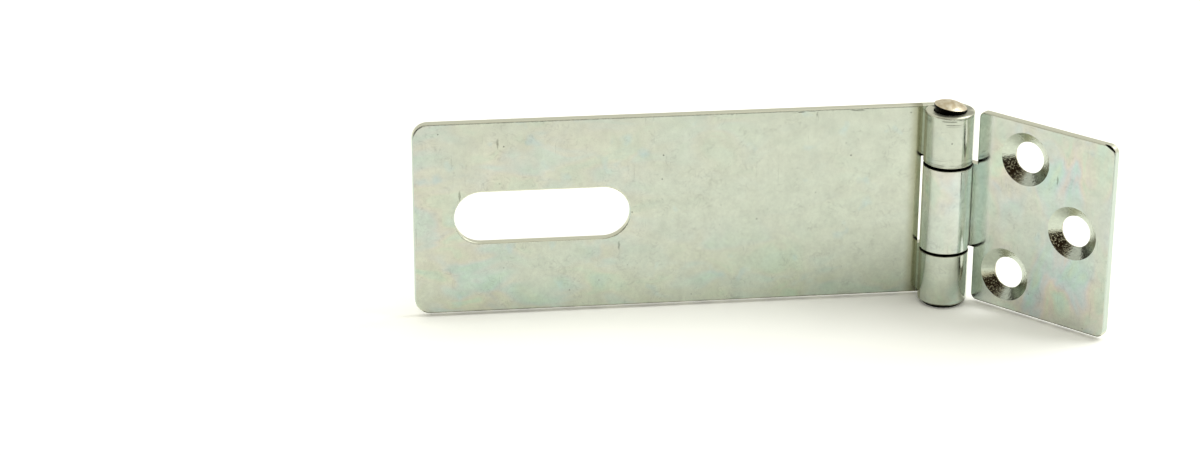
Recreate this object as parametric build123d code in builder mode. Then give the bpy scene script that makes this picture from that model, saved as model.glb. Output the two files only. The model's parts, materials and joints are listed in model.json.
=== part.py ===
# Hinged hasp: a slotted strap that swings on a riveted pin from a leaf held by three screws.
# The pin stands on the Z axis. The strap runs along -X, and the leaf stands out towards -Y.
# Both sheets lie tangent to the back of the barrel, which stands proud of their front faces.

import os
from math import asin, atan, degrees, isclose, radians, sin

from build123d import *

os.makedirs("parts", exist_ok=True)

# Sheet that both leaves are blanked from, and how far its edges are rolled over
sheet = 2.0
hasp_height = 45.0
front_roll = 0.4
back_roll = 0.5
gap_roll = 0.2

# Hinge pin and the play that it has in its knuckles
pin_radius = 3.42
pin_play = 0.08
foot_radius = 4.6
foot_height = 0.8
foot_round = 0.35
head_radius = 3.65
head_rim = 0.35
head_height = 1.45
head_tilt = 9.0
head_seat = 0.04

# Barrel: one curl of the leaf between two curls of the strap
end_knuckle = 12.0
lower_gap = 0.6
upper_gap = 0.65
seam_gap = 0.15

# Slotted strap
strap_reach = 118.5
strap_corner = 3.5
strap_notch = 5.3
slot_length = 39.0
slot_width = 12.0
slot_margin = 9.0

# Screw leaf, with each hole's place given from the pin axis and from the lower edge
leaf_reach = 40.0
leaf_corner = 2.0
ear_corner = 1.5
leaf_notch = 5.4
hole_radius = 3.6
countersink_radius = 6.1
hole_land = 0.3
hole_places = [(17.8, 36.6), (30.6, 22.5), (14.0, 8.2)]

# Angle between the two front faces, as the hasp stands
open_angle = 133.5

# Sizes that follow from those above
bore_radius = pin_radius + pin_play
barrel_radius = bore_radius + sheet
curl_sweep = 270 + degrees(asin((bore_radius - seam_gap) / barrel_radius))
notch_height = hasp_height - 2 * end_knuckle
top = foot_height + hasp_height
countersink_angle = 2 * degrees(atan((countersink_radius - hole_radius) / (sheet - hole_land)))

# Planes through the pin axis: across it for the sections, and upright for what is punched
leaf_run = Vector(1, 0, 0).rotate(Axis.Z, open_angle - 180)
leaf_normal = leaf_run.cross(Vector(0, 0, 1))
strap_across = Plane((0, 0, top), x_dir=(-1, 0, 0), z_dir=(0, 0, -1))
strap_upright = Plane((0, 0, foot_height), x_dir=(1, 0, 0), z_dir=(0, -1, 0))
leaf_across = Plane((0, 0, foot_height), x_dir=leaf_run)
leaf_upright = Plane((0, 0, foot_height), x_dir=leaf_run, z_dir=leaf_normal)
leaf_front = leaf_upright.offset(-bore_radius)
along_leaf = Axis((0, 0, 0), leaf_run)
out_of_leaf = Axis((0, 0, 0), leaf_normal)

# The head is peened askew: its rim seats on the leaf's side of the upper knuckle and lifts opposite
head_axis = Vector(0, 0, 1).rotate(Axis.Y, head_tilt)
head_slant = Vector(1, 0, 0).rotate(Axis.Y, head_tilt)
head_base = top + head_seat + head_radius * sin(radians(head_tilt))
head_plane = Plane((0, 0, head_base), x_dir=head_slant, z_dir=head_axis)
head_section = Plane((0, 0, head_base), x_dir=head_slant, z_dir=head_slant.cross(head_axis))


def rolled_section(plane, reach):
    """Section of a flat sheet whose hinge end is curled round the pin."""
    with BuildSketch(plane) as section:
        with BuildLine():
            outside = CenterArc((0, 0), barrel_radius, 90, curl_sweep)
            inside = CenterArc((0, 0), bore_radius, 90, curl_sweep)
            Line(outside @ 1, inside @ 1)
            Polyline(outside @ 0, (reach, barrel_radius), (reach, bore_radius), inside @ 0)
        make_face()
    return section.sketch


def notch_section(plane, notch):
    """What is blanked away beside a knuckle: the curl, and the sheet as far out as the notch."""
    with BuildSketch(plane) as section:
        Circle(barrel_radius + seam_gap)
        with Locations((notch, 0)):
            Rectangle(notch + 2 * barrel_radius, 4 * barrel_radius, align=(Align.MAX, Align.CENTER))
    return section.sketch


def gap_rims(piece):
    """Outer edges of a piece's knuckles, where they face another knuckle across a gap."""
    rims = piece.edges().filter_by(GeomType.CIRCLE).filter_by(lambda rim: isclose(rim.radius, barrel_radius))
    return rims.filter_by_position(Axis.Z, foot_height, top, inclusive=(False, False))


# Slotted strap: blanked, slotted and notched, then curled into two knuckles
with BuildPart() as slotted_strap:
    extrude(rolled_section(strap_across, strap_reach), amount=hasp_height)
    notch = notch_section(strap_across.offset(end_knuckle), strap_notch)
    extrude(notch, amount=notch_height, mode=Mode.SUBTRACT)
    fillet(slotted_strap.edges().filter_by(Axis.Y).group_by(Axis.X)[0], radius=strap_corner)
    with BuildSketch(strap_upright):
        with Locations((slot_margin + slot_length / 2 - strap_reach, hasp_height / 2)):
            SlotOverall(slot_length, slot_width)
    extrude(amount=-2 * barrel_radius, mode=Mode.SUBTRACT)
    strap_faces = slotted_strap.faces().filter_by(Axis.Y).sort_by(Axis.Y)
    front_outline = strap_faces[0].edges().filter_by_position(Axis.X, -strap_reach, -2 * strap_notch)
    back_outline = strap_faces[-1].edges().filter_by_position(Axis.X, -strap_reach, -2 * strap_notch)
    fillet(front_outline, radius=front_roll)
    fillet(back_outline, radius=back_roll)
    fillet(gap_rims(slotted_strap), radius=gap_roll)
slotted_strap.part.label = "slotted_strap"

# Screw leaf: blanked with a tongue that is curled into the middle knuckle, then countersunk
with BuildPart() as screw_leaf:
    extrude(rolled_section(leaf_across, leaf_reach), amount=hasp_height)
    lower_notch = notch_section(leaf_across, leaf_notch)
    extrude(lower_notch, amount=end_knuckle + lower_gap, mode=Mode.SUBTRACT)
    upper_notch = notch_section(leaf_across.offset(hasp_height), leaf_notch)
    extrude(upper_notch, amount=-end_knuckle - upper_gap, mode=Mode.SUBTRACT)
    fillet(gap_rims(screw_leaf), radius=gap_roll)
    ear_edges = screw_leaf.edges().filter_by(out_of_leaf).group_by(along_leaf)[-2].sort_by(Axis.Z)
    fillet([ear_edges[0], ear_edges[-1]], radius=ear_corner)
    fillet(screw_leaf.edges().filter_by(out_of_leaf).group_by(along_leaf)[-1], radius=leaf_corner)
    leaf_faces = screw_leaf.faces().filter_by(out_of_leaf).sort_by(out_of_leaf)
    front_outline = leaf_faces[-1].edges().filter_by_position(along_leaf, leaf_notch - sheet, leaf_reach)
    back_outline = leaf_faces[0].edges().filter_by_position(along_leaf, leaf_notch - sheet, leaf_reach)
    fillet(front_outline, radius=front_roll)
    fillet(back_outline, radius=back_roll)
    with Locations(leaf_front):
        with Locations(*hole_places):
            CounterSinkHole(hole_radius, countersink_radius, counter_sink_angle=countersink_angle)
screw_leaf.part.label = "screw_leaf"

# Hinge pin: a rivet with a peened foot below and a domed head above, set a little askew
with BuildPart() as hinge_pin:
    Cylinder(foot_radius, foot_height, align=(Align.CENTER, Align.CENTER, Align.MIN))
    fillet(hinge_pin.edges().group_by(Axis.Z)[0], radius=foot_round)
    with Locations((0, 0, foot_height)):
        Cylinder(pin_radius, hasp_height + head_height, align=(Align.CENTER, Align.CENTER, Align.MIN))
    split(bisect_by=head_plane, keep=Keep.BOTTOM)
    with BuildSketch(head_section):
        with BuildLine():
            Polyline((0, head_height), (0, 0), (head_radius, 0), (head_radius, head_rim))
            TangentArc((0, head_height), (head_radius, head_rim), tangent=(1, 0))
        make_face()
    revolve(axis=Axis((0, 0, head_base), head_plane.z_dir))
hinge_pin.part.label = "hinge_pin"

for piece in (slotted_strap, screw_leaf, hinge_pin):
    export_step(piece.part, f"parts/{piece.part.label}.step")
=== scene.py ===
import json
import math

import bpy
from mathutils import Matrix, Vector


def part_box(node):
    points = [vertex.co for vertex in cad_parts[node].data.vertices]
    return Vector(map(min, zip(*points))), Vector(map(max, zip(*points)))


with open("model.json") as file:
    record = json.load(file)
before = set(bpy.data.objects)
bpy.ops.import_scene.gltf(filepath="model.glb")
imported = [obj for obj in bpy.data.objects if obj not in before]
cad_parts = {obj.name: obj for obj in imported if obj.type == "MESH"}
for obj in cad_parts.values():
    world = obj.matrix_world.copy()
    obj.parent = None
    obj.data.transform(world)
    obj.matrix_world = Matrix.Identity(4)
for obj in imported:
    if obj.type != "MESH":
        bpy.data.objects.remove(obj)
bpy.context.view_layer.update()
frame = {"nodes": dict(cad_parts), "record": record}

# Screw leaf: mild steel sheet, blanked, curled round the pin at one end and countersunk three times.
# It is barrel plated with bright zinc and passivated clear, which leaves a glossy greenish grey skin
# with rainbow stains. Screws through its holes hold it flat against a door or frame.

# Sizes on the hasp are in millimetres, and MM turns them to metres
MM = 0.001
LEAF_REACH = 40.0
screw_holes = [mount for mount in frame["record"]["mounts"] if mount["name"].endswith("screw_hole")]
leaf_out = Vector(screw_holes[0]["axis"])
leaf_turn = math.atan2(-leaf_out.x, -leaf_out.y)
leaf_axes = Matrix.Rotation(leaf_turn, 3, "Z")
hole_centres = [leaf_axes @ Vector(hole["pos_m"]) / MM for hole in screw_holes]
barrel_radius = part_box("slotted_strap")[1].x / MM
sheet_low, sheet_high = (corner.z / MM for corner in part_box("screw_leaf"))


def linear(code):
    """Linear colour of an sRGB hex code."""
    channels = [int(code[i:i + 2], 16) / 255 for i in (0, 2, 4)]
    return [c / 12.92 if c <= 0.04045 else ((c + 0.055) / 1.055) ** 2.4 for c in channels] + [1.0]


def add(tree, kind, inputs=(), **settings):
    """Adds a node with its settings. Its inputs are listed in the node's own order or given by name,
    and each is a value, a socket, or a node whose first output is meant. Map Range takes a value,
    the span that the value runs through, and the results at the span's two ends."""
    made = tree.nodes.new("ShaderNode" + kind)
    for name, value in settings.items():
        setattr(made, name, value)
    for key, value in inputs.items() if isinstance(inputs, dict) else enumerate(inputs):
        if isinstance(value, bpy.types.Node):
            value = value.outputs[0]
        if isinstance(value, bpy.types.NodeSocket):
            tree.links.new(value, made.inputs[key])
        else:
            made.inputs[key].default_value = value
    return made


def sheet_axes(tree, turn):
    """Place in mm and facing on a sheet whose run is turned from +X: along it, behind it and up."""
    coords = add(tree, "TexCoord").outputs
    place = add(tree, "Mapping", {"Vector": coords["Object"], "Rotation": (0, 0, turn),
                                  "Scale": [1 / MM] * 3})
    facing = add(tree, "Mapping", {"Vector": coords["Normal"], "Rotation": (0, 0, turn)})
    return place, facing


# Passive film. It dried thicker in some patches than in others, and each thickness leaves another faint
# colour, from straw through rose and blue to green.
FILM_COLOURS = ["D6D2B6", "E0C2B8", "C2C8DA", "A4D0CC", "B8D6BC"]
FILM_PATCH = 6.0
FILM_BANDS = 2.4


def passive_film(tree, place, stretch):
    """Colours of the film, in patches that are longer along an axis whose stretch is under 1."""
    drawn = add(tree, "VectorMath", [place, [s / FILM_PATCH for s in stretch]], operation="MULTIPLY")
    drift = add(tree, "TexNoise", {"Vector": drawn, "Scale": 1.0, "Detail": 2.0, "Roughness": 0.45,
                                   "Distortion": 0.6})
    phase = add(tree, "Math", [drift, FILM_BANDS], operation="MULTIPLY")
    phase = add(tree, "Math", [phase], operation="FRACT")
    ramp = add(tree, "ValToRGB", [phase])
    ramp.color_ramp.interpolation = "B_SPLINE"
    colours = FILM_COLOURS + FILM_COLOURS[:1]
    for _ in colours[2:]:
        ramp.color_ramp.elements.new(0.5)
    for i, (stop, code) in enumerate(zip(ramp.color_ramp.elements, colours)):
        stop.position = i / len(FILM_COLOURS)
        stop.color = linear(code)
    return ramp


# Where the film shows: more towards the strap's free end and along its lower edge, where it dried last
# and greenest, and in soft patches. A span is the part of a noise over which its pattern fades in.
FILM_RUN = (-40.0, -115.0)
THICK_PATCH = 14.0
THICK_SPAN = (0.35, 0.65)
THICK_SHARES = (0.2, 1.8)
LOW_BAND_START = 18.0
LOW_BAND_END = 3.0
LOW_GREEN = "93B295"
GREEN_GAIN = 2.5
SMEAR_PATCH = 6.0
SMEAR_SPAN = (0.66, 0.78)
SMEAR_SHARE = 0.35
SMEAR_BLUE = "A4C2CC"


def zinc_skin(tree, place, grey, film_shares, film_stretch, low_share=0.0):
    """Colour of the fresh plate: its grey under a greener low edge, the film and a few blue smears."""
    along, _, up = add(tree, "SeparateXYZ", [place]).outputs
    share = add(tree, "MapRange", [along, *FILM_RUN, *film_shares])
    low = add(tree, "MapRange", [up, sheet_low + LOW_BAND_START, sheet_low + LOW_BAND_END])
    share = add(tree, "Math", [low, low_share, share], operation="MULTIPLY_ADD")
    thick = add(tree, "TexNoise", {"Vector": place, "Scale": 1 / THICK_PATCH, "Detail": 2.0})
    thick = add(tree, "MapRange", [thick, *THICK_SPAN, *THICK_SHARES])
    share = add(tree, "Math", [share, thick], operation="MULTIPLY")
    green = add(tree, "Math", [low, thick], operation="MULTIPLY")
    green = add(tree, "Math", [green, GREEN_GAIN * low_share], operation="MULTIPLY", use_clamp=True)
    skin = add(tree, "MixRGB", [green, linear(grey), linear(LOW_GREEN)])
    skin = add(tree, "MixRGB", [share, skin, passive_film(tree, place, film_stretch)])
    smear = add(tree, "TexNoise", {"Vector": place, "Scale": 1 / SMEAR_PATCH, "Detail": 2.0})
    smear = add(tree, "MapRange", [smear, *SMEAR_SPAN, 0.0, SMEAR_SHARE])
    return add(tree, "MixRGB", [smear, skin, linear(SMEAR_BLUE)])


# Curled tongue: the film is thicker and teal where the sheet starts to bend, and fades on to the knuckle
# on one side and out over the flat on the other
CURL_TEAL = "C8D4CD"
CURL_SHARE = 0.9
CURL_FADE = (7.0, 10.0)
KNUCKLE_SHARE = 0.1
KNUCKLE_FADE = (barrel_radius - 1.5, barrel_radius + 0.5)


def teal_tongue(tree, place, skin):
    """The skin with teal on the leaf's tongue."""
    along, _, _ = add(tree, "SeparateXYZ", [place]).outputs
    reach = add(tree, "Math", [along], operation="ABSOLUTE")
    curl = add(tree, "MapRange", [reach, *CURL_FADE, CURL_SHARE, 0.0])
    tongue = add(tree, "MapRange", [reach, *KNUCKLE_FADE, KNUCKLE_SHARE, 1.0])
    curl = add(tree, "Math", [curl, tongue], operation="MULTIPLY")
    return add(tree, "MixRGB", [curl, skin, linear(CURL_TEAL)])


# Hair scratches from the plating barrel and from handling. Real ones are finer than a pixel, so these are
# drawn wider.
SCRATCH_WIDTH = 0.3
SCRATCH_LENGTH = 9.0
SCRATCH_LEAN = 0.1
SCRATCH_PATCH = 11.0
SCRATCH_SPAN = (0.4, 0.6)
SCRATCH_LEVELS = (0.9, 0.72)
SCRATCH_EDGE = 0.06


def hair_scratches(tree, place):
    """Mask of hair scratches, nearly upright, of which some patches have more."""
    drawn = add(tree, "Mapping", {"Vector": place, "Rotation": (0, SCRATCH_LEAN, 0),
                                  "Scale": (1 / SCRATCH_WIDTH, 1 / SCRATCH_WIDTH, 1 / SCRATCH_LENGTH)})
    hairs = add(tree, "TexNoise", {"Vector": drawn, "Scale": 1.0, "Detail": 1.0, "Distortion": 0.15})
    where = add(tree, "TexNoise", {"Vector": place, "Scale": 1 / SCRATCH_PATCH, "Detail": 1.0})
    level = add(tree, "MapRange", [where, *SCRATCH_SPAN, *SCRATCH_LEVELS])
    hairs = add(tree, "Math", [hairs, level], operation="SUBTRACT")
    return add(tree, "MapRange", [hairs, 0.0, SCRATCH_EDGE])


# Scribbled rubs. Each follows the line along which a noise is at the level given here.
SCRIBBLE = 2.6
SCRIBBLE_LEVEL = 0.5
SCRIBBLE_LINE = (0.008, 0.03)
RUB_PATCH = 4.5
RUB_SPAN = (0.5, 0.62)


def scribbled_rubs(tree, place):
    """Mask of the small curly rubs that loose parts scribble on each other in the plating barrel."""
    curls = add(tree, "TexNoise", {"Vector": place, "Scale": 1 / SCRIBBLE, "Detail": 2.0, "Distortion": 1.2})
    curls = add(tree, "Math", [curls, SCRIBBLE_LEVEL], operation="SUBTRACT")
    curls = add(tree, "Math", [curls], operation="ABSOLUTE")
    curls = add(tree, "MapRange", [curls, *SCRIBBLE_LINE, 1.0, 0.0])
    patch = add(tree, "TexNoise", {"Vector": place, "Scale": 1 / RUB_PATCH, "Detail": 2.0})
    patch = add(tree, "MapRange", [patch, *RUB_SPAN])
    return add(tree, "Math", [curls, patch], operation="MULTIPLY")


# Dark specks in the plate: round pinholes, upright nicks with ragged sides, and chips in the burr that
# blanking left along the two long edges
PINHOLE = 0.24
PINHOLE_SPACING = (7.0, 7.0)
PINHOLE_BARE = 0.5
PINHOLE_EDGE = 0.025
PINHOLE_SHARE = 0.6
NICK = 0.35
NICK_SPACING = (9.0, 40.0)
NICK_BARE = 0.55
NICK_EDGE = 0.02
NICK_SHARE = 0.5
NICK_RAGS = 0.6
NICK_SWAY = 0.5
BURR_CHIP = (8.0, 3.0, 1.5)
BURR_SPAN = (0.58, 0.66)
BURR_BAND_START = 0.9
BURR_BAND_END = 0.5
BURR_SHARE = 0.5


def struck_marks(tree, place, size, spacing, bare, edge):
    """Mask of marks scattered over the face of a sheet, with none in the bare share of their places."""
    on_face = add(tree, "Mapping", {"Vector": place, "Rotation": (math.pi / 2, 0, 0),
                                    "Scale": (1 / spacing[0], 1, 1 / spacing[1])})
    marks = add(tree, "TexVoronoi", {"Vector": on_face, "Scale": 1.0}, voronoi_dimensions="2D").outputs
    chance, _, _ = add(tree, "SeparateXYZ", [marks["Color"]]).outputs
    radius = add(tree, "MapRange", [chance, bare, 1.0, 0.0, size / spacing[0]])
    inside = add(tree, "Math", [radius, marks["Distance"]], operation="SUBTRACT")
    return add(tree, "MapRange", [inside, 0.0, edge])


def burr_chips(tree, place):
    """Mask of the chips along the two long edges."""
    _, _, up = add(tree, "SeparateXYZ", [place]).outputs
    rim = add(tree, "Math", [up, (sheet_low + sheet_high) / 2], operation="SUBTRACT")
    rim = add(tree, "Math", [rim], operation="ABSOLUTE")
    half = (sheet_high - sheet_low) / 2
    rim = add(tree, "MapRange", [rim, half - BURR_BAND_START, half - BURR_BAND_END])
    drawn = add(tree, "VectorMath", [place, [1 / size for size in BURR_CHIP]], operation="MULTIPLY")
    chips = add(tree, "TexNoise", {"Vector": drawn, "Scale": 1.0, "Detail": 3.0, "Roughness": 0.6})
    chips = add(tree, "MapRange", [chips, *BURR_SPAN, 0.0, BURR_SHARE])
    return add(tree, "Math", [chips, rim], operation="MULTIPLY")


def dark_specks(tree, place):
    """Mask of the pinholes, the nicks and the burr's chips together."""
    holes = struck_marks(tree, place, PINHOLE, PINHOLE_SPACING, PINHOLE_BARE, PINHOLE_EDGE)
    holes = add(tree, "Math", [holes, PINHOLE_SHARE], operation="MULTIPLY")
    specks = add(tree, "Math", [holes, burr_chips(tree, place)], operation="MAXIMUM")
    rags = add(tree, "TexNoise", {"Vector": place, "Scale": 1 / NICK_RAGS, "Detail": 2.0}).outputs["Color"]
    ragged = add(tree, "VectorMath", [rags, [NICK_SWAY] * 3, place], operation="MULTIPLY_ADD")
    nicks = struck_marks(tree, ragged, NICK, NICK_SPACING, NICK_BARE, NICK_EDGE)
    return add(tree, "Math", [nicks, NICK_SHARE, specks], operation="MULTIPLY_ADD", use_clamp=True)


# Sheared faces, and the edges that roll over to them, made lighter partly as bare steel and partly as a
# painted highlight. The first three pairs are how squarely a face looks to the back or front, up or down,
# and down, where the faces that look down get painted shade. The last is the height at which the lowest edge
# ends.
SIDE_CUT = (0.8, 0.985)
LEVEL_CUT = (0.1, 0.42)
UNDER_CUT = (-0.08, -0.35)
UNDER_BAND = (sheet_low + 0.6, sheet_low + 0.9)


def cut_faces(tree, place, facing):
    """Masks of all sheared faces, which cross the sheet, of those that lie level, and of the lowest, for
    painted shade.
    """
    along, _, height = add(tree, "SeparateXYZ", [place]).outputs
    _, behind, up = add(tree, "SeparateXYZ", [facing]).outputs
    side = add(tree, "Math", [behind], operation="ABSOLUTE")
    side = add(tree, "MapRange", [side, *SIDE_CUT, 1.0, 0.0])
    reach = add(tree, "Math", [along], operation="ABSOLUTE")
    flat = add(tree, "Math", [reach, barrel_radius], operation="GREATER_THAN")
    side = add(tree, "Math", [side, flat], operation="MULTIPLY")
    level = add(tree, "Math", [up], operation="ABSOLUTE")
    level = add(tree, "MapRange", [level, *LEVEL_CUT])
    under = add(tree, "MapRange", [up, *UNDER_CUT])
    lowest = add(tree, "MapRange", [height, *UNDER_BAND, 1.0, 0.0])
    under = add(tree, "Math", [under, lowest], operation="MULTIPLY")
    return add(tree, "Math", [side, level], operation="MAXIMUM"), level, under


# Tones and depths of the worn plate. The rolled sheet's grain is finer than a pixel, so it is drawn
# coarser. Shearing leaves lines across the edges, and painted shade lies along the lowest edge, more where
# the plate is cloudy. Depths are in steps of BUMP_STEP, and those below zero are sunk.
SHEET_GRAIN = 0.9
GRAIN_SPAN = (0.3, 0.7)
GRAIN_TONES = (0.93, 1.05)
CLOUD_PATCH = 4.0
CLOUD_SPAN = (0.35, 0.65)
CLOUD_TONES = (0.94, 1.06)
WORN_TONE = 0.88
CUT_STEEL_AND_HIGHLIGHT = "CBD6CC"
LEVEL_CUT_HIGHLIGHT = "DFE0CB"
GRIME_AND_SHADE = "4A4A3A"
LOW_SHADE_CLOUD = (0.97, 1.03)
LOW_SHADE_SHARES = (0.95, 0.6)
PLATE_ROUGHNESS = (0.11, 0.17)
HAIR_ROUGHNESS = 0.15
CUT_ROUGHNESS = 0.25
SHEAR_LINE = (0.4, 10.0, 0.4)
BUMP_STEP = 0.02
GRAIN_DEPTH = 0.12
SHEAR_DEPTH = 2.0
HAIR_DEPTH = -0.25
SPECK_DEPTH = -2.0


def worn_plate(tree, place, facing, skin):
    """The skin with its grain, scratches, specks, sheared edges and painted shade along the lowest edge, and
    its roughness and height.
    """
    cut, level_cut, underside = cut_faces(tree, place, facing)
    hairs = hair_scratches(tree, place)
    uncut = add(tree, "Math", [1.0, cut], operation="SUBTRACT")
    specks = add(tree, "Math", [dark_specks(tree, place), uncut], operation="MULTIPLY")
    grain = add(tree, "TexNoise", {"Vector": place, "Scale": 1 / SHEET_GRAIN, "Detail": 4.0,
                                   "Roughness": 0.65})
    cloud = add(tree, "TexNoise", {"Vector": place, "Scale": 1 / CLOUD_PATCH, "Detail": 5.0,
                                   "Roughness": 0.65})
    cloud = add(tree, "MapRange", [cloud, *CLOUD_SPAN, *CLOUD_TONES])

    tone = add(tree, "MapRange", [grain, *GRAIN_SPAN, *GRAIN_TONES])
    tone = add(tree, "Math", [tone, cloud], operation="MULTIPLY")
    worn = add(tree, "Math", [hairs, scribbled_rubs(tree, place)], operation="MAXIMUM")
    worn = add(tree, "MapRange", [worn, 0.0, 1.0, 1.0, WORN_TONE])
    tone = add(tree, "Math", [tone, worn], operation="MULTIPLY")
    skin = add(tree, "VectorMath", {0: skin, "Scale": tone}, operation="SCALE")
    skin = add(tree, "MixRGB", [specks, skin, linear(GRIME_AND_SHADE)])
    # Painted highlight: sheared faces lighter, partly as bare steel, and level ones lighter still
    skin = add(tree, "MixRGB", [cut, skin, linear(CUT_STEEL_AND_HIGHLIGHT)])
    skin = add(tree, "MixRGB", [level_cut, skin, linear(LEVEL_CUT_HIGHLIGHT)])
    # Painted shade along the lowest, downward-facing edge, more where the plate is cloudy
    dirt_and_shade = add(tree, "MapRange", [cloud, *LOW_SHADE_CLOUD, *LOW_SHADE_SHARES])
    dirt_and_shade = add(tree, "Math", [dirt_and_shade, underside], operation="MULTIPLY")
    skin = add(tree, "MixRGB", [dirt_and_shade, skin, linear(GRIME_AND_SHADE)])

    rough = add(tree, "MapRange", [grain, *GRAIN_SPAN, *PLATE_ROUGHNESS])
    rough = add(tree, "Math", [hairs, HAIR_ROUGHNESS, rough], operation="MULTIPLY_ADD")
    rough = add(tree, "Math", [cut, CUT_ROUGHNESS, rough], operation="MULTIPLY_ADD")

    shear = add(tree, "VectorMath", [place, [1 / size for size in SHEAR_LINE]], operation="MULTIPLY")
    shear = add(tree, "TexNoise", {"Vector": shear, "Scale": 1.0, "Detail": 2.0})
    shear = add(tree, "Math", [shear, cut], operation="MULTIPLY")
    height = add(tree, "Math", [grain, GRAIN_DEPTH], operation="MULTIPLY")
    for mask, depth in ((shear, SHEAR_DEPTH), (hairs, HAIR_DEPTH), (specks, SPECK_DEPTH)):
        height = add(tree, "Math", [mask, depth, height], operation="MULTIPLY_ADD")
    return skin, rough, height


# Painted shade, black, in the two gaps between the leaf's knuckle and the strap's two end knuckles
END_KNUCKLE = 12.0
LOWER_GAP = 0.6
UPPER_GAP = 0.65
gap_middles = [sheet_low + END_KNUCKLE + LOWER_GAP / 2, sheet_high - END_KNUCKLE - UPPER_GAP / 2]
BARREL_MARGIN = 0.1
RIM_SHADE_PATCH = 1.0
RIM_SHADE_SPAN = (0.3, 0.7)
RIM_SHADE_REACH = 0.03
SHADE_EDGE = 0.08
SHADE_AND_REFLECTION_BLACK = "0F0E09"
GAP_ROUGHNESS = 0.4


def on_barrel(tree, place):
    """Mask of the barrel, without the flat sheet that runs off its back."""
    across = add(tree, "VectorMath", [place, (1, 1, 0)], operation="MULTIPLY")
    reach = add(tree, "VectorMath", [across], operation="LENGTH").outputs["Value"]
    return add(tree, "Math", [reach, barrel_radius + BARREL_MARGIN], operation="LESS_THAN")


def gap_painted_shade(tree, place):
    """Mask of the painted shade, which fills the gaps and spreads a little way over their rims."""
    _, _, up = add(tree, "SeparateXYZ", [place]).outputs
    rim_shade = add(tree, "TexNoise", {"Vector": place, "Scale": 1 / RIM_SHADE_PATCH, "Detail": 2.0})
    rim_shade = add(tree, "MapRange", [rim_shade, *RIM_SHADE_SPAN, 0.0, RIM_SHADE_REACH])
    masks = []
    for middle, gap in zip(gap_middles, (LOWER_GAP, UPPER_GAP)):
        away = add(tree, "Math", [up, middle], operation="SUBTRACT")
        away = add(tree, "Math", [away], operation="ABSOLUTE")
        away = add(tree, "Math", [away, rim_shade], operation="SUBTRACT")
        masks.append(add(tree, "MapRange", [away, gap / 2, gap / 2 + SHADE_EDGE, 1.0, 0.0]))
    both = add(tree, "Math", masks, operation="MAXIMUM")
    return add(tree, "Math", [both, on_barrel(tree, place)], operation="MULTIPLY")


def finish_plate(tree, place, skin, rough, height):
    """Paints shade black into the gaps of a dressed sheet and links its colour, roughness and height to its
    shader.
    """
    gap_shade = gap_painted_shade(tree, place)
    # Painted shade: the gaps are painted black
    skin = add(tree, "MixRGB", [gap_shade, skin, linear(SHADE_AND_REFLECTION_BLACK)])
    rough = add(tree, "Math", [gap_shade, GAP_ROUGHNESS, rough], operation="MULTIPLY_ADD")
    bump = add(tree, "Bump", {"Height": height, "Distance": BUMP_STEP * MM})
    shader = tree.nodes["Principled BSDF"]
    shader.inputs["Metallic"].default_value = 1.0
    tree.links.new(skin.outputs[0], shader.inputs["Base Color"])
    tree.links.new(rough.outputs[0], shader.inputs["Roughness"])
    tree.links.new(bump.outputs[0], shader.inputs["Normal"])


# Painted reflection, black, in the leaf's upper outer corner: a crescent, longer along the top than down the
# end
CRESCENT = 2.7
CRESCENT_LEAN = (1, 0, 2)
CRESCENT_EDGE = 0.3
FRONT_FACE = (-0.2, -0.4)


def corner_painted_reflection(tree, place, facing):
    """Mask of the painted dark reflection, on the front only."""
    lean = add(tree, "VectorMath", [place, CRESCENT_LEAN], operation="DOT_PRODUCT").outputs["Value"]
    corner = Vector(CRESCENT_LEAN).dot((LEAF_REACH, 0, sheet_high)) - CRESCENT
    lean = add(tree, "MapRange", [lean, corner - CRESCENT_EDGE, corner])
    _, behind, _ = add(tree, "SeparateXYZ", [facing]).outputs
    front = add(tree, "MapRange", [behind, *FRONT_FACE])
    return add(tree, "Math", [lean, front], operation="MULTIPLY")


# Countersinks, turned after the sheet was blanked. The tool left rings, which are finer than a pixel and
# so are drawn coarser, and torn spots with a little dirt in them. Where it chattered, it left brown pits.
COUNTERSINK_RADIUS = 6.1
COUNTERSINK_MARGIN = 0.05
CONE_FACING = -0.93
TURNED_STEEL = "CAD2C3"
TURNED_ROUGHNESS = 0.16
TURNING_PITCH = 0.35
TURNING_DEPTH = 0.08
TORN_SPOT = 0.45
TORN_DEPTH = 0.9
CHATTER_SIDE = (0.7, 0, 0.7)
CHATTER_FACING = (0.42, 0.5)
PIT = 0.4
PIT_SPAN = (0.6, 0.68)
PIT_DEPTH = 1.7
PIT_BROWN = "9A8A5C"
PIT_SHARE = 0.55
DIRT_SPOT = 0.75
DIRT_SPAN = (0.42, 0.52)
DIRT_BROWN = "4A3C28"
DIRT_SHARE = 0.1


def turned_cones(tree, place, facing):
    """Mask of the countersinks, which look out less squarely than the front does, and how far each spot
    of them lies from its hole's axis."""
    on_face = add(tree, "VectorMath", [place, (1, 0, 1)], operation="MULTIPLY")
    nearest = None
    for centre in hole_centres:
        from_hole = add(tree, "VectorMath", [on_face, (centre.x, 0, centre.z)], operation="DISTANCE")
        from_hole = from_hole.outputs["Value"]
        if nearest is not None:
            from_hole = add(tree, "Math", [nearest, from_hole], operation="MINIMUM")
        nearest = from_hole
    _, behind, _ = add(tree, "SeparateXYZ", [facing]).outputs
    sloped = add(tree, "Math", [behind, CONE_FACING], operation="GREATER_THAN")
    within = add(tree, "Math", [nearest, COUNTERSINK_RADIUS + COUNTERSINK_MARGIN], operation="LESS_THAN")
    return add(tree, "Math", [sloped, within], operation="MULTIPLY"), nearest


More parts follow.
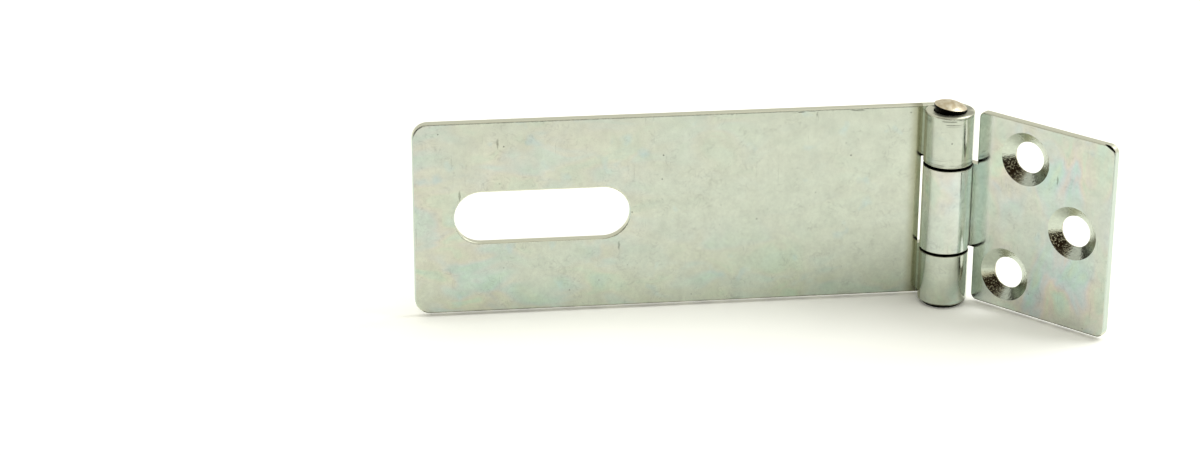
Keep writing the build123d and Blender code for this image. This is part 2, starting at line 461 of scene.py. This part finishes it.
def turned_countersinks(tree, place, facing, skin, rough, height):
    """The skin, roughness and height with the countersinks turned into them."""
    cones, from_hole = turned_cones(tree, place, facing)
    skin = add(tree, "MixRGB", [cones, skin, linear(TURNED_STEEL)])
    dirt_and_shade = add(tree, "TexNoise", {"Vector": place, "Scale": 1 / DIRT_SPOT, "Detail": 5.0, "Roughness": 0.75})
    dirt_and_shade = add(tree, "MapRange", [dirt_and_shade, *DIRT_SPAN, 0.0, DIRT_SHARE])
    dirt_and_shade = add(tree, "Math", [dirt_and_shade, cones], operation="MULTIPLY")
    skin = add(tree, "MixRGB", [dirt_and_shade, skin, linear(DIRT_BROWN)])
    chatter = add(tree, "VectorMath", [facing, CHATTER_SIDE], operation="DOT_PRODUCT").outputs["Value"]
    chatter = add(tree, "MapRange", [chatter, *CHATTER_FACING])
    brown = add(tree, "Math", [chatter, PIT_SHARE], operation="MULTIPLY")
    brown = add(tree, "Math", [brown, cones], operation="MULTIPLY")
    skin = add(tree, "MixRGB", [brown, skin, linear(PIT_BROWN)])

    rings = add(tree, "Math", [from_hole, 2 * math.pi / TURNING_PITCH], operation="MULTIPLY")
    rings = add(tree, "Math", [rings], operation="SINE")
    turned = add(tree, "Math", [rings, TURNING_DEPTH], operation="MULTIPLY")
    torn = add(tree, "TexNoise", {"Vector": place, "Scale": 1 / TORN_SPOT, "Detail": 3.0})
    turned = add(tree, "Math", [torn, TORN_DEPTH, turned], operation="MULTIPLY_ADD")
    pits = add(tree, "TexNoise", {"Vector": place, "Scale": 1 / PIT, "Detail": 1.0, "Roughness": 0.5})
    pits = add(tree, "MapRange", [pits, *PIT_SPAN, 0.0, PIT_DEPTH])
    turned = add(tree, "Math", [pits, chatter, turned], operation="MULTIPLY_ADD")
    height = add(tree, "Math", [turned, cones, height], operation="MULTIPLY_ADD")
    rough = add(tree, "Mix", {0: cones, 2: rough, 3: TURNED_ROUGHNESS})
    return skin, rough, height


# Plating of the leaf: an even share of film, in patches that are long upwards
LEAF_GREY = "C1C9BF"
LEAF_FILM_SHARES = (0.25, 0.25)
LEAF_FILM_STRETCH = (0.9, 1.0, 0.55)

leaf = frame["nodes"]["screw_leaf"]
leaf_plate = bpy.data.materials.new("zinc_plated_leaf")
leaf_plate.use_nodes = True
tree = leaf_plate.node_tree
place, facing = sheet_axes(tree, leaf_turn)
skin = zinc_skin(tree, place, LEAF_GREY, LEAF_FILM_SHARES, LEAF_FILM_STRETCH)
skin = teal_tongue(tree, place, skin)
skin, rough, height = worn_plate(tree, place, facing, skin)
# Painted reflection: a black crescent in the leaf's upper outer corner
skin = add(tree, "MixRGB", [corner_painted_reflection(tree, place, facing), skin, linear(SHADE_AND_REFLECTION_BLACK)])
skin, rough, height = turned_countersinks(tree, place, facing, skin, rough, height)
finish_plate(tree, place, skin, rough, height)
leaf.material_slots[0].material = leaf_plate

# Slotted strap: the same sheet and plating, blanked with a long slot and curled into the
# two outer knuckles. Its long flat shows the rolled sheet's fine grain and hair scratches.

# The curling die scored fine rings round the upper knuckle, near its two rims
SCORED_RING = (8.0, 8.0, 0.3)
SCORED_SPAN = (0.5, 0.6)
SCORED_BAND_START = 2.4
SCORED_BAND_END = 1.6
SCORED_PATCH = 3.0
SCORED_PATCH_SPAN = (0.4, 0.5)
SCORED_SHARE = 0.45


def scored_rings(tree, place):
    """Mask of the rings, which come and go round the knuckle."""
    drawn = add(tree, "VectorMath", [place, [1 / size for size in SCORED_RING]], operation="MULTIPLY")
    rings = add(tree, "TexNoise", {"Vector": drawn, "Scale": 1.0, "Detail": 2.0})
    rings = add(tree, "MapRange", [rings, *SCORED_SPAN])
    half = END_KNUCKLE / 2
    _, _, up = add(tree, "SeparateXYZ", [place]).outputs
    rim = add(tree, "Math", [up, sheet_high - half], operation="SUBTRACT")
    rim = add(tree, "Math", [rim], operation="ABSOLUTE")
    rim = add(tree, "MapRange", [rim, half - SCORED_BAND_START, half - SCORED_BAND_END])
    upper = add(tree, "Math", [up, sheet_high - END_KNUCKLE], operation="GREATER_THAN")
    patch = add(tree, "TexNoise", {"Vector": place, "Scale": 1 / SCORED_PATCH, "Detail": 1.0})
    patch = add(tree, "MapRange", [patch, *SCORED_PATCH_SPAN, 0.0, SCORED_SHARE])
    for mask in (rim, upper, patch, on_barrel(tree, place)):
        rings = add(tree, "Math", [rings, mask], operation="MULTIPLY")
    return rings


# Painted reflection of the barrel, olive and dark, on the front of the strap next to where its curls close
BARREL_REFLECTION_OLIVE = "7C7A4E"
REFLECTION_SHARE = 0.62
REFLECTION_REACH = 3.2
REFLECTION_FULL = 0.5
REFLECTION_EDGE = 0.2
REFLECTION_SHEET = 0.5


def barrel_reflection(tree, place):
    """Mask of the painted reflection, which thins out away from the barrel."""
    along, behind, _ = add(tree, "SeparateXYZ", [place]).outputs
    reflection = add(tree, "MapRange", [along, -barrel_radius - REFLECTION_REACH, -barrel_radius - REFLECTION_FULL,
                                   0.0, REFLECTION_SHARE], interpolation_type="SMOOTHSTEP")
    flat = add(tree, "Math", [along, -barrel_radius + REFLECTION_EDGE], operation="LESS_THAN")
    front = add(tree, "Math", [behind, barrel_radius - REFLECTION_SHEET], operation="LESS_THAN")
    for mask in (front, flat):
        reflection = add(tree, "Math", [reflection, mask], operation="MULTIPLY")
    return reflection


# Plating of the strap: less film than on the leaf, in patches that are long along it
STRAP_GREY = "BEC4B7"
STRAP_FILM_SHARES = (0.03, 0.13)
STRAP_FILM_STRETCH = (0.5, 1.0, 1.0)
STRAP_LOW_SHARE = 0.07

strap = frame["nodes"]["slotted_strap"]
strap_plate = bpy.data.materials.new("zinc_plated_strap")
strap_plate.use_nodes = True
tree = strap_plate.node_tree
place, facing = sheet_axes(tree, 0.0)
skin = zinc_skin(tree, place, STRAP_GREY, STRAP_FILM_SHARES, STRAP_FILM_STRETCH, STRAP_LOW_SHARE)
skin, rough, height = worn_plate(tree, place, facing, skin)
scored = scored_rings(tree, place)
skin = add(tree, "MixRGB", [scored, skin, linear(GRIME_AND_SHADE)])
height = add(tree, "Math", [height, scored], operation="SUBTRACT")
# Painted reflection of the barrel on the strap's front, in olive
skin = add(tree, "MixRGB", [barrel_reflection(tree, place), skin, linear(BARREL_REFLECTION_OLIVE)])
finish_plate(tree, place, skin, rough, height)
strap.material_slots[0].material = strap_plate

# Hinge pin: a mild steel rivet, set with a hammered dome above and a peened foot below. The dome is
# rubbed to a warm tan, and the rest of the pin, the dome's sides, the shank and the foot, is painted black
# as shade.

DOME_TAN = "CDBD9B"
DOME_CREAM = "E8DFC6"
DOME_FACING = (0.35, 0.6)
PIN_PAINTED_SHADE = "0E0D0A"
PIN_ROUGHNESS = 0.42
HAMMER_MARK = 1.3
HAMMER_SPAN = (0.38, 0.62)
HAMMER_DEPTH = 0.15

pin = frame["nodes"]["hinge_pin"]
hammered_steel = bpy.data.materials.new("hammered_steel_rivet")
hammered_steel.use_nodes = True
tree = hammered_steel.node_tree
coords = add(tree, "TexCoord").outputs
place = add(tree, "VectorMath", {0: coords["Object"], "Scale": 1 / MM}, operation="SCALE")
_, _, height = add(tree, "SeparateXYZ", [place]).outputs
_, _, up = add(tree, "SeparateXYZ", [coords["Normal"]]).outputs
dome_top = add(tree, "MapRange", [up, *DOME_FACING])
above = add(tree, "Math", [height, sheet_high], operation="GREATER_THAN")
dome_top = add(tree, "Math", [dome_top, above], operation="MULTIPLY")
marks = add(tree, "TexNoise", {"Vector": place, "Scale": 1 / HAMMER_MARK, "Detail": 2.0})
blotch = add(tree, "MapRange", [marks, *HAMMER_SPAN])
steel = add(tree, "MixRGB", [blotch, linear(DOME_TAN), linear(DOME_CREAM)])
# Painted shade: all of the pin but the dome's top is painted black
skin = add(tree, "MixRGB", [dome_top, linear(PIN_PAINTED_SHADE), steel])
bump = add(tree, "Bump", {"Height": marks, "Distance": HAMMER_DEPTH * MM})
shader = tree.nodes["Principled BSDF"]
shader.inputs["Metallic"].default_value = 1.0
shader.inputs["Roughness"].default_value = PIN_ROUGHNESS
tree.links.new(skin.outputs[0], shader.inputs["Base Color"])
tree.links.new(bump.outputs[0], shader.inputs["Normal"])
pin.material_slots[0].material = hammered_steel

# Studio: matt cream paper under a soft white room, with one large softbox to the right. The
# room's front is dark, as the side that the photographer stands on is. Its sizes are in metres.

# The paper looks brighter than the light that it gives back. In the metal it darkens some way in front
# of the hasp, as the room does.
PAPER = (0.98, 0.98, 0.93)
FLOOR_SPAN = 3.0
SEEN_GAIN = 0.35
PAPER_FRONT = (-0.14, -0.18)
FRONT_DIM = 0.95

bpy.ops.mesh.primitive_plane_add(size=FLOOR_SPAN)
floor = bpy.context.object
floor.name = "floor"
paper = bpy.data.materials.new("cream_paper")
paper.use_nodes = True
tree = paper.node_tree
tree.nodes.clear()
rays = add(tree, "LightPath").outputs
seen = add(tree, "Math", [rays["Is Camera Ray"], rays["Is Glossy Ray"]], operation="MAXIMUM")
level = add(tree, "Math", [seen, SEEN_GAIN, 1.0], operation="MULTIPLY_ADD")
_, away, _ = add(tree, "SeparateXYZ", [add(tree, "TexCoord").outputs["Object"]]).outputs
beyond = add(tree, "MapRange", [away, *PAPER_FRONT, 0.0, FRONT_DIM])
beyond = add(tree, "Math", [beyond, rays["Is Glossy Ray"]], operation="MULTIPLY")
kept = add(tree, "Math", [1.0, beyond], operation="SUBTRACT")
level = add(tree, "Math", [level, kept], operation="MULTIPLY")
tint = add(tree, "VectorMath", {0: PAPER, "Scale": level}, operation="SCALE")
matt = add(tree, "BsdfDiffuse", {"Color": tint})
add(tree, "OutputMaterial", {"Surface": matt})
floor.data.materials.append(paper)

# The dark part of the room lies to the front and left, and only metal mirrors it. Each pair is where it
# fades, as a line of sight leans to the front, to the side, up, and up along a slope.
ROOM_LEVEL = 0.72
ROOM_LIGHT = (1.0, 0.99, 0.93, 1.0)
ROOM_DARK = "34230F"
DARK_FRONT = (-0.1, -0.2)
DARK_SIDE = (-0.02, 0.1)
DARK_TOP = (0.65, 0.71)
DARK_SLOPE = (1.16, 1.22)
SLOPE_LEAN = -0.8

world = bpy.data.worlds.new("studio")
bpy.context.scene.world = world
world.use_nodes = True
tree = world.node_tree
tree.nodes.clear()
rays = add(tree, "LightPath").outputs
across, away, up = add(tree, "SeparateXYZ", [add(tree, "TexCoord").outputs["Generated"]]).outputs
slope = add(tree, "Math", [across, SLOPE_LEAN, up], operation="MULTIPLY_ADD")
dark = add(tree, "MapRange", [away, *DARK_FRONT])
for value, fade in ((across, DARK_SIDE), (up, DARK_TOP), (slope, DARK_SLOPE)):
    within = add(tree, "MapRange", [value, *fade, 1.0, 0.0])
    dark = add(tree, "Math", [dark, within], operation="MULTIPLY")
dark = add(tree, "Math", [dark, rays["Is Glossy Ray"]], operation="MULTIPLY")
sky = add(tree, "MixRGB", [dark, ROOM_LIGHT, linear(ROOM_DARK)])
level = add(tree, "MapRange", [rays["Is Camera Ray"], 0.0, 1.0, ROOM_LEVEL, 1.0])
background = add(tree, "Background", {"Color": sky, "Strength": level})
add(tree, "OutputWorld", {"Surface": background})

SOFTBOX_PLACE = Vector((0.707, 0.0, 0.843))
SOFTBOX_SPAN = 0.6
SOFTBOX_WATTS = 4.7
SOFTBOX_TINT = (0.96, 0.97, 1.0)

softbox_data = bpy.data.lights.new("softbox", "AREA")
softbox_data.shape = "SQUARE"
softbox_data.size = SOFTBOX_SPAN
softbox_data.energy = SOFTBOX_WATTS
softbox_data.color = SOFTBOX_TINT
softbox = bpy.data.objects.new("softbox", softbox_data)
bpy.context.scene.collection.objects.link(softbox)
to_hasp = SOFTBOX_PLACE.to_track_quat("Z", "Y").to_matrix().to_4x4()
softbox.matrix_world = Matrix.Translation(SOFTBOX_PLACE) @ to_hasp

# Camera: the photograph's own view, from the left of the strap and above. It was fitted to the outlines
# of the sheets, the slot and the holes.

CAMERA_PLACE = (-0.154326, -0.637703, 0.287857)
HEADING = 6.8588
DIP = 22.5487
LEAN = 0.1843
SENSOR_WIDTH = 36.0
LENS = 94.64

camera = bpy.data.objects.new("camera", bpy.data.cameras.new("camera"))
bpy.context.scene.collection.objects.link(camera)
camera.data.sensor_width = SENSOR_WIDTH
camera.data.lens = LENS
aim = (Matrix.Rotation(-math.radians(HEADING), 4, "Z") @ Matrix.Rotation(math.radians(90 - DIP), 4, "X")
       @ Matrix.Rotation(math.radians(LEAN), 4, "Z"))
camera.matrix_world = Matrix.Translation(CAMERA_PLACE) @ aim
bpy.context.scene.camera = camera
bpy.context.scene.view_settings.view_transform = "Standard"
